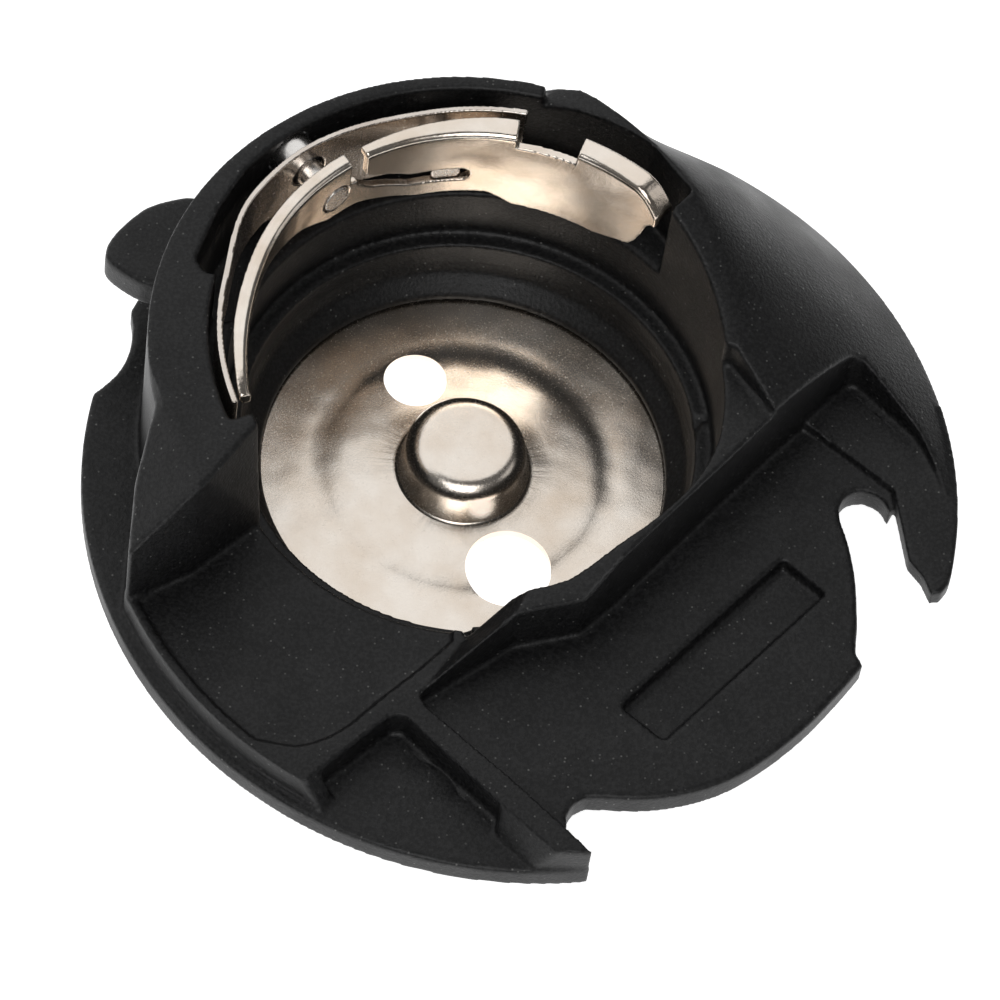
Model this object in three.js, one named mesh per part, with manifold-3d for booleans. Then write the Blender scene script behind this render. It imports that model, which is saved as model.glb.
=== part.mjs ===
// Bobbin case of a top-loading rotary hook. Millimetres, +Z up.
// The bobbin's axis is the origin of the plan and the top of the base plate is height 0;
// the finished group is moved so that its box stands on the ground at the origin.
import * as THREE from "three";
import Module from "manifold-3d";

const wasm = await Module();
wasm.setup();

// ---- sizes ---------------------------------------------------------------------------------
const WELL_R = 12.3;          // bobbin well, above the ledge
const WELL_LOW_R = 11.4;      // bobbin well, below the ledge
const LEDGE_Z = 3.4;
const LIP_R = 10.25;          // opening of the lip over the base plate
const LIP_TOP = 0.5;
const RING_WALL = 3.85;       // width of the flat ring top
const RING_TOP = 12.4;
const BARREL_WALL = 1.5;      // foot of the well under the race rib
const BARREL_LOW = -1.1;

const RING_X = -0.15;         // centre of the ring's outside, off the bobbin's axis
const RING_Y = -0.6;

const RACE_R = 21.85;         // race rib, off the bobbin's axis
const RACE_X = 3.0;
const RACE_Y = -2.4;
const RIB_LOW = 1.9;
const RIB_TOP = 3.2;
const FLOOR_TOP = 4.9;        // low floor beside the open front of the well
const FLOOR_DISH = 0.3;
const FLOOR_INSET = 0.65;     // rib left standing outside the low floor

const APRON_LOW = 2.4;
const APRON_TOP = 3.9;
const WINDOW_DEEP = 0.6;      // plain recess in the apron
const MARK_DEEP = 0.12;       // witness circles
const DAM_TOP = 8.3;          // high part of the dam
const DAM_STEP = 7.05;         // low part of the dam
const DAM_FILLET = 0.9;

const CAM_RIM = 10.0;         // cam top where it ends at the dam
const CAM_EDGE = 4.2;         // cam top at the race circle
const CLAW_TOP = 4.4;
const CLAW_T = 1.1;           // the claw is thin where it overhangs the slot
const LUG_TOP = 9.0;
const LUG_LOW = 7.2;

const PLATE_T = 0.5;
const PLATE_R = 11.2;
const COIN = 0.05;            // the plate's rim is pressed down a little under the lip
const POST_R = 3.0;
const POST_TOP = 2.65;
const POST_WALL = 0.5;
const EMBOSS = 0.12;          // raised middle of the plate
const EMBOSS_R = 7.0;
const SMALL_HOLE_R = 1.6;
const LARGE_HOLE_R = 2.17;

const SHEET_R = 11.7;         // tension bracket, inner face
const SHEET_X = 0.5;          // its centre, off the bobbin's axis
const SHEET_T = 0.45;
const SHEET_LOW = 7.4;
const SHEET_TOP = 12.6;
const FLANGE_W = 1.2;         // bent-out top of the bracket, at its widest
const ARM_W = 0.78;           // and along its left arm
const ARM_DRIFT = 0.8;        // the left arm's end swings out towards the leaf
const CURL = 0.5;             // the right end curls inwards
const SLIT_W = 0.9;
const SLIT_Z = 9.7;
const LEAF_R = 13.25;         // tension leaf, inner face at both ends
const LEAF_BULGE = 0.65;      // and how far it stands out between them
const LEAF_T = 0.3;
const LEAF_LOW = 8.0;          // lower edge of the leaf, left of the tension screw 1.2 higher
const LEAF_TOP = 12.75;
const SCREW_R = 0.75;
const TENSION_AT = 139.5;     // directions and heights of the two screws
const TENSION_Z = 10.8;
const FIXING_AT = 109;
const FIXING_Z = 9.7;
const BLIND = 0.12;           // left in front of the fixing screw's end
const HEAD_R = 1.2;
const TENSION_HEAD = 1.5;     // the tension screw's head reaches into the ring's window
const FIXING_HEAD = 0.7;
const POCKET_LOW = 6.7;
const POCKET_R = 14.75;
const CLEAR = 0.06;           // between faces that meet
const FREE = 0.15;            // between faces that move
const LEAF_SWING = 0.2;       // further room for the leaf's free end

const RING_R = WELL_R + RING_WALL;
const BARREL_R = WELL_R + BARREL_WALL;
const ROUND = 72;

// ---- helpers -------------------------------------------------------------------------------
const rad = (deg) => (deg * Math.PI) / 180;
const polar = (r, deg, cx = 0, cy = 0) => [cx + r * Math.cos(rad(deg)), cy + r * Math.sin(rad(deg))];

function arc(cx, cy, r, from, to, step = 360 / ROUND) {
  const n = Math.max(2, Math.ceil(Math.abs(to - from) / step));
  return Array.from({ length: n + 1 }, (_, i) => polar(r, from + ((to - from) * i) / n, cx, cy));
}

function weld(triangles) {
  const index = new Map();
  const verts = [];
  const tris = [];
  for (const p of triangles) {
    const key = p.map((v) => Math.round(v * 1e5)).join();
    if (!index.has(key)) {
      index.set(key, verts.length / 3);
      verts.push(...p);
    }
    tris.push(index.get(key));
  }
  const kept = [];
  for (let i = 0; i < tris.length; i += 3) {
    const [a, b, c] = tris.slice(i, i + 3);
    if (a !== b && b !== c && c !== a) kept.push(a, b, c);
  }
  return new wasm.Manifold(new wasm.Mesh({
    numProp: 3, vertProperties: new Float32Array(verts), triVerts: new Uint32Array(kept),
  }));
}

function solid(geometry) {
  const g = geometry.index ? geometry.toNonIndexed() : geometry;
  const p = g.attributes.position;
  return weld(Array.from({ length: p.count }, (_, i) => [p.getX(i), p.getY(i), p.getZ(i)]));
}

// Solid on a plan outline; each height is one number or a function of the point.
function prism(outline, low, high) {
  const at = (z, p) => (typeof z === "function" ? z(p[0], p[1]) : z);
  const pts = outline.map(([x, y]) => new THREE.Vector2(x, y));
  if (THREE.ShapeUtils.area(pts) < 0) pts.reverse();
  const plan = pts.map((p) => [p.x, p.y]);
  const bottom = plan.map((p) => [...p, at(low, p)]);
  const top = plan.map((p) => [...p, at(high, p)]);
  const out = [];
  for (const [a, b, c] of THREE.ShapeUtils.triangulateShape(pts, [])) {
    out.push(top[a], top[b], top[c], bottom[a], bottom[c], bottom[b]);
  }
  plan.forEach((_, i) => {
    const j = (i + 1) % plan.length;
    out.push(bottom[i], bottom[j], top[j], bottom[i], top[j], top[i]);
  });
  return weld(out);
}

function lathe(profile, parts = ROUND) {
  const pts = profile.map(([r, z]) => new THREE.Vector2(r, z));
  if (THREE.ShapeUtils.area(pts) < 0) pts.reverse();
  const g = new THREE.LatheGeometry(pts, parts);
  return solid(g.rotateX(Math.PI / 2));
}

const disc = (cx, cy, r, low, high) => prism(arc(cx, cy, r, 0, 360 - 360 / ROUND), low, high);

// Round bar along the direction "deg" in plan, from radius a to radius b.
function bar(r, deg, a, b, z, parts = 24, cx = SHEET_X) {
  const g = new THREE.CylinderGeometry(r, r, b - a, parts).rotateZ(-Math.PI / 2);
  g.translate((a + b) / 2, 0, 0).rotateZ(rad(deg)).translate(cx, 0, z);
  return solid(g);
}

// Share of the way from one value to another, held between 0 and 1.
const ramped = (v, from, to) => Math.min(1, Math.max(0, (v - from) / (to - from)));
const smooth = (t) => t * t * (3 - 2 * t);

const join = (list) => list.reduce((a, b) => a.add(b));
const cut = (body, list) => list.reduce((a, b) => a.subtract(b), body);

function toMesh(name, body, color, metal, rough) {
  const m = body.getMesh();
  const g = new THREE.BufferGeometry();
  g.setAttribute("position", new THREE.BufferAttribute(new Float32Array(m.vertProperties), 3));
  g.setIndex(new THREE.BufferAttribute(new Uint32Array(m.triVerts), 1));
  const material = new THREE.MeshStandardMaterial({ color, metalness: metal, roughness: rough });
  const mesh = new THREE.Mesh(g.toNonIndexed(), material);
  mesh.geometry.computeVertexNormals();
  mesh.name = name;
  return mesh;
}

// ---- plan lines of the case -----------------------------------------------------------------
// Points are drawn for the standard hook and follow the race circle or the well when those change.
const RACE_DRAWN = 21.85;
const WELL_DRAWN = 12.3;
const onRace = ([x, y]) => {
  const k = RACE_R / RACE_DRAWN;
  return [RACE_X + (x - 3.0) * k, RACE_Y + (y + 2.4) * k];
};
const onWell = ([x, y]) => [(x * WELL_R) / WELL_DRAWN, (y * WELL_R) / WELL_DRAWN];
const raceArc = (from, to, inset = 0) => arc(RACE_X, RACE_Y, RACE_R - inset, from, to);
const ringArc = (from, to, r = RING_R) => arc(RING_X, RING_Y, r, from, to);
const wellArc = (from, to, out = 0) => arc(0, 0, WELL_R + out, from, to);

// Height that falls from "high" on the line p-q by "fall" for each mm to the right of it.
function slope(p, q, high, fall, least = -Infinity, most = Infinity) {
  const length = Math.hypot(q[0] - p[0], q[1] - p[1]);
  const n = [(q[1] - p[1]) / length, -(q[0] - p[0]) / length];
  return (x, y) => {
    const z = high - fall * ((x - p[0]) * n[0] + (y - p[1]) * n[1]);
    return Math.max(least, Math.min(most, z));
  };
}

const TIP = onRace([9.35, -23.3]);                  // end of the race rib
const ARM_START = onRace([-0.67, -17.52]);          // corner of floor, arm and dam
const ARM_NEAR = onRace([4.6, -21.4]);              // arm's edge over the corner pocket
const ARM_END = onRace([7.7, -23.55]);
const ARM_FAR = onRace([8.05, -22.3]);              // arm's edge over the apron
const RIDGE_END = onRace([-4.15, -21.2]);
const FLOOR_END = onRace([-4.8, -22.15]);
const CUT_IN = onWell([-9.35, -8.0]);               // front face of the ring, foot line
const CUT_OUT = onWell([-12.15, -11.45]);
const DAM_LEFT = onWell([-0.14, -16.17]);
const DAM_BACK = onWell([1.56, -12.7]);
const KINK = onWell([3.85, -12.1]);
const KINK_BACK = onWell([4.4, -10.0]);
const STEP_LOW = onWell([7.05, -10.7]);
const STEP_BACK = onWell([5.9, -9.6]);
const STEP_HIGH = onWell([8.5, -8.75]);
const STEP_TOP = onWell([7.95, -8.05]);
const CAM_FOOT = onWell([14.77, 0.89]);             // dam, cam and claw meet
const CAM_NOSE = onWell([12.3, 3.45]);
const CLAW_TIP = onRace([24.65, -4.6]);

// Race rib: the race circle with the scallop at the left; it stops short of the slot and the claw.
function rib() {
  const scallop = [[-18.75, -1.1], [-18.2, -0.35], [-17.75, 0.5], [-17.5, 1.6], [-17.55, 3.0], [-17.85, 4.1]];
  const inside = [[21, 4.5], [17, 3], [14, -6], [9, -13], [7.7, -21.6]];
  return prism([
    ...raceArc(-72.9, -183.2), ...scallop.map(onRace), ...raceArc(-199.2, -343), ...inside.map(onRace),
  ], RIB_LOW, RIB_TOP);
}

function apron() {
  const slot = [[21.4, -0.7], [21.0, -0.05], [20.4, 0.25], [19.8, 0.25], [19.2, -0.1], [18.9, -0.75],
    [19.0, -1.6], [19.55, -2.9], [20.15, -5.0], [20.55, -7.7], [20.6, -9.1], [21.05, -9.75]];
  const front = [[20.1, -11.5], [18.6, -13.9], [16.7, -16.2], [14.9, -17.75], [12.9, -18.8], [11.1, -19.35],
    [9.4, -19.6], [8.6, -19.75], [8.05, -20.2], [7.8, -20.9], [7.95, -21.7]];
  const inside = [[5.2, -20.4], [2.0, -18.4], [-0.6, -16.5], [3, -8], [9, 0], [14.6, 4.2], [17.2, 4.2],
    [19.8, 2.6], [22, 1.0]];
  const plate = prism([...slot, ...front, ...inside].map(onRace), APRON_LOW, APRON_TOP);
  const corner = [[9.6, -14.35], [16.45, -4.5], [18.75, -6.0], [11.9, -15.85]].map(onRace);
  return plate.subtract(prism(corner, APRON_TOP - WINDOW_DEEP, APRON_TOP + 1));
}

// Low floor with the strip above the corner pocket and the arm.
function floor() {
  const slab = prism([
    ...raceArc(-149, -112.6, FLOOR_INSET), FLOOR_END, RIDGE_END, onRace([-1.3, -17.65]), ARM_START,
    ARM_NEAR, ARM_END, TIP, ARM_FAR, onRace([5.3, -20.25]), onRace([0.2, -16.75]),
    DAM_LEFT, DAM_BACK, [0, -8], [-8, -4], CUT_IN, CUT_OUT,
  ], RIB_LOW, FLOOR_TOP);
  const tab = prism([RIDGE_END, FLOOR_END, ...[[-3.75, -22.65], [-3.25, -22.0]].map(onRace)],
    RIB_LOW, slope(RIDGE_END, FLOOR_END, FLOOR_TOP - 0.3, -1.3));
  const ramp = prism([ARM_NEAR, ARM_END, ...[[6.55, -23.75], [4.62, -22.4]].map(onRace)],
    RIB_LOW, slope(ARM_NEAR, ARM_END, FLOOR_TOP, 2.3, RIB_TOP));
  const curve = [[1.0, -12.9], [-0.4, -14.9], [-2.0, -16.9], [-3.6, -19.0], [-5.4, -20.15], [-7.2, -20.2]];
  const dish = prism([...curve.map(onRace), ...raceArc(-120.5, -147.5, FLOOR_INSET + 0.5), [-14.2, -13.4],
    [-13, -11], [-9, -6], [0, -8]], FLOOR_TOP - FLOOR_DISH, FLOOR_TOP + 1);
  return slab.add(tab).add(ramp).subtract(dish);
}

function dam() {
  const top = slope(DAM_LEFT, DAM_BACK, FLOOR_TOP, -(DAM_STEP - FLOOR_TOP) / 1.4, FLOOR_TOP, DAM_STEP);
  const low = prism([DAM_LEFT, KINK, STEP_LOW, STEP_BACK, KINK_BACK, DAM_BACK], RIB_LOW, top);
  const step = prism([STEP_BACK, STEP_LOW, STEP_HIGH, STEP_TOP],
    RIB_LOW, slope(STEP_BACK, STEP_LOW, DAM_STEP, (DAM_TOP - DAM_STEP) / 2.4, DAM_STEP, DAM_TOP));
  const back = [[11.5, 3], [10, -3]].map(onWell);
  const high = prism([STEP_HIGH, CAM_FOOT, CAM_NOSE, ...back, STEP_TOP], RIB_LOW, DAM_TOP);
  const out = ([x, y], d = DAM_FILLET) => [x + 0.84 * d, y - 0.54 * d];
  const foot = prism([STEP_LOW, CAM_FOOT, out(CAM_FOOT), out(STEP_LOW)], RIB_LOW,
    slope(CAM_FOOT, STEP_LOW, APRON_TOP + DAM_FILLET, -1));
  return join([low, step, high, foot]);
}

// Sloping top between the well's rim and the race circle. t runs from the rim (0) to the race (1).
function camRadii(deg) {
  const [c, s] = [Math.cos(rad(deg)), Math.sin(rad(deg))];
  const b = c * RACE_X + s * RACE_Y;
  const far = b + Math.sqrt(b * b + RACE_R ** 2 - RACE_X ** 2 - RACE_Y ** 2);
  const k = Math.min(1, Math.max(0, (deg - 15) / 65));
  return [WELL_R + 0.7 + k * k * (RING_R - WELL_R - 0.8), far];
}

function camHeight(deg, t) {
  const rim = CAM_RIM + (RING_TOP - CAM_RIM) * Math.min(1, Math.max(-0.3, (deg - 15) / 35));
  const fade = Math.min(1, Math.max(0, (deg - 56) / 34));
  const edge = CAM_EDGE + (RIB_TOP - CAM_EDGE) * fade;
  return rim + (edge - rim) * t ** (1.3 - 1.05 * fade);
}

function cam() {
  const [first, last, step] = [-14, 94, 3];
  const marks = [0, 0.15, 0.3, 0.45, 0.6, 0.72, 0.84, 0.93, 1];
  const rows = [];
  for (let deg = first; deg <= last; deg += step) {
    const [near, far] = camRadii(deg);
    const line = marks.map((t) => [...polar(near + (far - near) * t, deg), camHeight(deg, t)]);
    rows.push([[...polar(WELL_R - 1, deg), camHeight(deg, 0)], ...line]);
  }
  const body = ruled(rows, RIB_LOW);
  const wall = [[18.25, 5.95], [18.75, 6.05], [19.25, 5.8], [21.35, 4.2], [22.58, 3.0], [24.3, 0.05], [27, -3]];
  const front = [CAM_NOSE, CAM_FOOT, ...wall.map(onRace), [27, -12], [5, -12], [8, 3.4]];
  return body.subtract(prism(front, -5, 20));
}

// Closed solid under a grid of heights, with upright sides and a flat bottom.
function ruled(rows, low) {
  const out = [];
  const quad = (a, b, c, d) => out.push(a, b, c, a, c, d);
  const foot = ([x, y]) => [x, y, low];
  const [m, n] = [rows.length - 1, rows[0].length - 1];
  for (let i = 0; i < m; i++) {
    for (let j = 0; j < n; j++) {
      const [a, b, c, d] = [rows[i][j], rows[i][j + 1], rows[i + 1][j + 1], rows[i + 1][j]];
      quad(a, b, c, d);
      quad(foot(d), foot(c), foot(b), foot(a));
    }
    quad(foot(rows[i][n]), foot(rows[i + 1][n]), rows[i + 1][n], rows[i][n]);
    quad(foot(rows[i + 1][0]), foot(rows[i][0]), rows[i][0], rows[i + 1][0]);
  }
  for (let j = 0; j < n; j++) {
    quad(foot(rows[0][j]), foot(rows[0][j + 1]), rows[0][j + 1], rows[0][j]);
    quad(foot(rows[m][j + 1]), foot(rows[m][j]), rows[m][j], rows[m][j + 1]);
  }
  return weld(out);
}

function claw() {
  const step = [[15.6, 3.85], [17.0, 3.1], [19.05, 1.85], [21.4, 0.4]];
  const side = [[21.95, -1.4], [22.6, -3.6], [23.4, -4.4], [23.9, -5.35], [24.4, -5.2]];
  const plate = prism([...step.map(onRace), ...side.map(onRace), ...raceArc(-5.6, 22), onRace([17, 6])],
    CLAW_TOP - CLAW_T, CLAW_TOP);
  const mark = tube(onRace([19.05, 3.5]), 1.42, 0.1, CLAW_TOP - MARK_DEEP, CLAW_TOP + 1);
  return plate.subtract(mark);
}

function tube([x, y], r, width, low, high) {
  return disc(x, y, r, low, high).subtract(disc(x, y, r - width, low - 1, high + 1));
}

// High ring round the back of the well, with the sloped shoulder at its front end.
function ringWall() {
  const side = [[-15.35, -10.3], [-15.05, -13.75]];
  const inner = wellArc(220, 86, -1);
  const body = prism([...ringArc(86, 202.7), ...side, CUT_OUT, CUT_IN, ...inner], RIB_LOW, RING_TOP);
  const crease = [onWell([-12.1, -11.5]), onWell([-14.6, -6.84])];
  const over = [[-16.6, -2.2], [-18.5, -2.2], [-18.5, -17], [-11.7, -17]];
  const shoulder = prism([...crease, ...over.map(onWell)], slope(...crease, RING_TOP, -2.14, 4.6), RING_TOP + 3);
  return cut(body, [shoulder, facet()]);
}

// What is taken off the ring's front face: a triangle that leans back towards the well.
function facet() {
  const lean = 1.1;
  const along = [CUT_IN[0] - CUT_OUT[0], CUT_IN[1] - CUT_OUT[1]];
  const length = Math.hypot(...along);
  const [ux, uy] = along.map((v) => v / length);
  const at = (s, out, z) => [CUT_OUT[0] + ux * s + uy * out, CUT_OUT[1] + uy * s - ux * out, z];
  const [top, far] = [RING_TOP + 0.6, length + 0.4];
  const corners = [at(0.2, 0, top), at(far, 0, FLOOR_TOP), at(far, -lean, top), at(far, 0.5, top + 0.5)];
  const faces = [[0, 1, 2], [0, 3, 1], [0, 2, 3], [1, 3, 2]];
  const sign = tetraSign(corners);
  return weld(faces.flatMap((f) => (sign > 0 ? f : [f[0], f[2], f[1]]).map((i) => corners[i])));
}

// Positive where the faces of a four-cornered solid, listed as in facet(), point outwards.
function tetraSign([a, b, c, d]) {
  const [u, v, w] = [b, c, d].map((p) => new THREE.Vector3(p[0] - a[0], p[1] - a[1], p[2] - a[2]));
  return -u.cross(v).dot(w);
}

function lug() {
  const outline = [[-14, 7.7], [-16.0, 7.45], [-17.6, 6.5], [-18.75, 5.0], [-19.2, 4.0], [-19.25, 3.5],
    [-19.0, 3.05], [-18.1, 2.45], [-17.2, 2.0], [-14, 1.5]];
  return prism(outline.map(onWell), LUG_LOW, LUG_TOP);
}

// What is taken out of the case: the well, the pocket for the tension parts, and small marks.
function wellSpace() {
  const r = PLATE_R + CLEAR;
  const low = lathe([[0, BARREL_LOW - 1], [PLATE_R - 0.7, BARREL_LOW - 1], [PLATE_R - 0.7, -PLATE_T - CLEAR],
    [r, -PLATE_T - CLEAR], [r, CLEAR], [LIP_R, CLEAR], [LIP_R, LIP_TOP], [WELL_LOW_R - 0.2, LIP_TOP + 0.9],
    [WELL_LOW_R, LIP_TOP + 1.6], [WELL_LOW_R, RING_TOP + 2], [0, RING_TOP + 2]]);
  const closing = Array.from({ length: 10 }, (_, i) => {
    return polar(WELL_LOW_R + (WELL_R - WELL_LOW_R) * smooth(i / 10), -42 + 4.2 * i);
  });
  const high = prism([...closing, ...wellArc(0, 279), [0, 0]], LEDGE_Z, RING_TOP + 2);
  return low.add(high);
}

function tensionPocket() {
  const r = POCKET_R;
  const main = [...arc(0, 0, r - 0.75, 50, 53), ...arc(-0.2, 0, r, 62, 150, 5), polar(r - 0.05, 161),
    polar(r - 0.15, 173.5), polar(LEAF_R + 0.8, 176)];
  const left = arc(SHEET_X, 0, LEAF_R + LEAF_T + FREE + LEAF_SWING, 176, 211.5);
  const inner = arc(0, 0, WELL_R - 1.2, 213, 48);
  return join([
    prism([...main, ...arc(0, 0, WELL_R - 1.2, 176, 48)], POCKET_LOW, RING_TOP + 1),
    prism([polar(LEAF_R + 0.8, 174), ...left, ...inner.slice(0, 12)], POCKET_LOW + 1.8, RING_TOP + 1),
  ]);
}

function caseBody() {
  const barrel = disc(0, 0, BARREL_R, BARREL_LOW, RIB_LOW + 0.5);
  const body = join([barrel, rib(), floor(), apron(), dam(), cam(), claw(), ringWall(), lug()]);
  const corner = tube(onRace([0.47, -21.0]), 2.1, 0.12, RIB_TOP - MARK_DEEP, RIB_TOP + 1);
  const window = bar(HEAD_R + 0.1, TENSION_AT, POCKET_R - 2, RING_R + 3, TENSION_Z);
  return cut(body, [wellSpace(), tensionPocket(), corner, window]);
}

// ---- plated pieces -------------------------------------------------------------------------
function basePlate() {
  const [r, top] = [POST_R, POST_TOP];
  const outer = [[0, top], [r - 0.85, top], [r - 0.42, top - 0.12], [r - 0.12, top - 0.45], [r, top - 0.9],
    [r + 0.05, 1.2], [r + 0.25, 0.5], [r + 0.5, 0.2], [r + 0.85, EMBOSS], [EMBOSS_R - 0.3, EMBOSS],
    [EMBOSS_R + 0.3, 0], [LIP_R - COIN, 0], [LIP_R, -COIN], [PLATE_R, -COIN], [PLATE_R, -PLATE_T]];
  const inner = [[EMBOSS_R + 0.3, -PLATE_T], [EMBOSS_R - 0.3, EMBOSS - PLATE_T], [r + 0.5, EMBOSS - PLATE_T],
    [r - 0.15, 0.2], [r - POST_WALL, 1.0], [r - POST_WALL, top - 1.0], [r - 1.15, top - POST_WALL],
    [0, top - POST_WALL]];
  const hole = (at, deg, radius) => disc(...polar(at, deg), radius, -3, 3);
  const holes = [hole(5.78, 123.3, SMALL_HOLE_R), hole(6.18, -60, LARGE_HOLE_R)];
  return cut(lathe([...outer, ...inner]), holes);
}

// Part of a strip bent round the bracket's axis; each radius is a number or a function of the direction.
function strip(inner, outer, from, to, low, high) {
  const line = (r, a, b) => {
    const n = Math.ceil(Math.abs(b - a) / 3);
    return Array.from({ length: n + 1 }, (_, i) => {
      const deg = a + ((b - a) * i) / n;
      return polar(typeof r === "function" ? r(deg) : r, deg, SHEET_X);
    });
  };
  return prism([...line(outer, from, to), ...line(inner, to, from)], low, high);
}

const sheetR = (deg) => SHEET_R + ARM_DRIFT * ramped(deg, 170, 206) ** 2 - CURL * ramped(-deg, -130, -55);
const leafR = (deg) => LEAF_R + LEAF_BULGE * smooth(ramped(deg, 112, 146)) * (1 - smooth(ramped(deg, 156, 178)));

// Lower edge of the bracket, and how far the middle of its slit lies above the slit's closed end.
const axisDeg = (x, y) => (THREE.MathUtils.radToDeg(Math.atan2(y, x - SHEET_X)) + 360) % 360;
const slitRise = (deg) => ramped(deg, 118, 129) + 0.8 * ramped(deg, 129, 133);
function bracketFoot(x, y) {
  const deg = axisDeg(x, y);
  return SHEET_LOW + 2.6 * (1 - ramped(deg, 54, 60)) ** 2 + 1.1 * (1 - ramped(deg, 56, 69))
    + 0.8 * ramped(deg, 92, 98) + 1.1 * ramped(deg, 116, 133) + 1.2 * ramped(deg, 142, 152)
    + 1.5 * ramped(deg, 152, 172);
}

function tensionBracket() {
  const [t, top] = [SHEET_T, SHEET_TOP];
  const wall = strip(sheetR, (deg) => sheetR(deg) + t, 53, 207, SHEET_LOW, top);
  const flange = (width, from, to) =>
    strip(sheetR, (deg) => sheetR(deg) + width(deg), from, to, top - 0.02, top + t);
  const gap = (from, to, low, high = top + 2) => strip(SHEET_R - 1, SHEET_R + 2, from, to, low, high);
  const body = join([wall, flange(() => FLANGE_W, 54, 76),
    flange((deg) => ARM_W - 0.2 * ramped(deg, 190, 206), 135.2, 206.5),
    flange((deg) => FLANGE_W - 0.5 * ramped(deg, 98, 130), 93.5, 130.7)]);
  const foot = gap(50, 214, SHEET_LOW - 1, bracketFoot);
  const slitEdge = (side) => (x, y) => SLIT_Z + slitRise(axisDeg(x, y)) + (side * SLIT_W) / 2;
  const bore = (deg, r, from, z) => bar(r, deg, from, SHEET_R + 2, z);
  const bores = [bore(105.5, SLIT_W / 2, SHEET_R - 2, SLIT_Z),
    bore(TENSION_AT, SCREW_R + CLEAR, SHEET_R - 2, TENSION_Z),
    bore(FIXING_AT, SCREW_R + CLEAR, sheetR(FIXING_AT) + BLIND, FIXING_Z)];
  const openings = [gap(105.5, 133, slitEdge(-1), slitEdge(1)), gap(130.7, 135.2, 11.3), gap(77, 92.5, top - 0.35)];
  return cut(body, [...openings, foot, ...bores]);
}

function tensionSpring() {
  const r = LEAF_R;
  const low = (x, y) => LEAF_LOW + 1.2 * ramped(axisDeg(x, y), 144, 152);
  const leaf = strip(leafR, (deg) => leafR(deg) + LEAF_T, 91, 209, low, LEAF_TOP);
  const hole = (deg, z) => bar(SCREW_R + 0.2, deg, r - 2, r + 2, z);
  const corner = strip(r - 1, r + 2, 88, 96, LEAF_LOW - 1, LEAF_TOP - 2.6);
  return cut(leaf, [corner, hole(TENSION_AT, TENSION_Z), hole(FIXING_AT, FIXING_Z)]);
}

// Screw pointing to the well's axis; its head lies outside the leaf spring. Each blade is [width, height].
function screw(deg, z, tip, head, blades) {
  const seat = leafR(deg) + LEAF_T + FREE;
  const blade = ([w, h]) => {
    const g = new THREE.BoxGeometry(0.6, w, h).translate(seat + head + 0.05, 0, 0);
    return solid(g.rotateZ(rad(deg)).translate(SHEET_X, 0, z));
  };
  const body = bar(SCREW_R, deg, tip, seat + 0.05, z).add(bar(HEAD_R, deg, seat, seat + head, z, 32));
  return cut(body, blades.map(blade));
}

function tensionScrew() {
  return screw(TENSION_AT, TENSION_Z, sheetR(TENSION_AT) - 0.05, TENSION_HEAD, [[0.45, 4]]);
}

function fixingScrew() {
  const tip = sheetR(FIXING_AT) + BLIND + CLEAR;
  return screw(FIXING_AT, FIXING_Z, tip, FIXING_HEAD, [[1.5, 0.4], [0.4, 1.5]]);
}

// ---- assembly ------------------------------------------------------------------------------
const BLACK = 0x242426;
const NICKEL = 0xd8cfc0;
const pieces = [
  toMesh("case_body", caseBody(), BLACK, 0.0, 0.55),
  toMesh("base_plate", basePlate(), NICKEL, 1.0, 0.28),
  toMesh("tension_bracket", tensionBracket(), NICKEL, 1.0, 0.25),
  toMesh("tension_spring", tensionSpring(), NICKEL, 1.0, 0.22),
  toMesh("tension_screw", tensionScrew(), NICKEL, 1.0, 0.3),
  toMesh("fixing_screw", fixingScrew(), NICKEL, 1.0, 0.3),
];

// The box's middle in plan and its underside become the origin.
const box = new THREE.Box3();
for (const piece of pieces) {
  piece.geometry.computeBoundingBox();
  box.union(piece.geometry.boundingBox);
}
const centre = box.getCenter(new THREE.Vector3());
const group = new THREE.Group();
group.name = "bobbin_case";
for (const piece of pieces) {
  piece.geometry.translate(-centre.x, -centre.y, -box.min.z);
  group.add(piece);
}
export default group;
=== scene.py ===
"""Drop-in bobbin case: black moulding, plated disc and post, and the steel parts of its thread tension.

Pieces are drawn in millimetres about the bobbin's axis, with the top of the base plate at height 0,
and moved to the frame's own place when they are finished.
"""

import math

import bmesh
import bpy
from mathutils import Matrix, Vector

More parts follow.
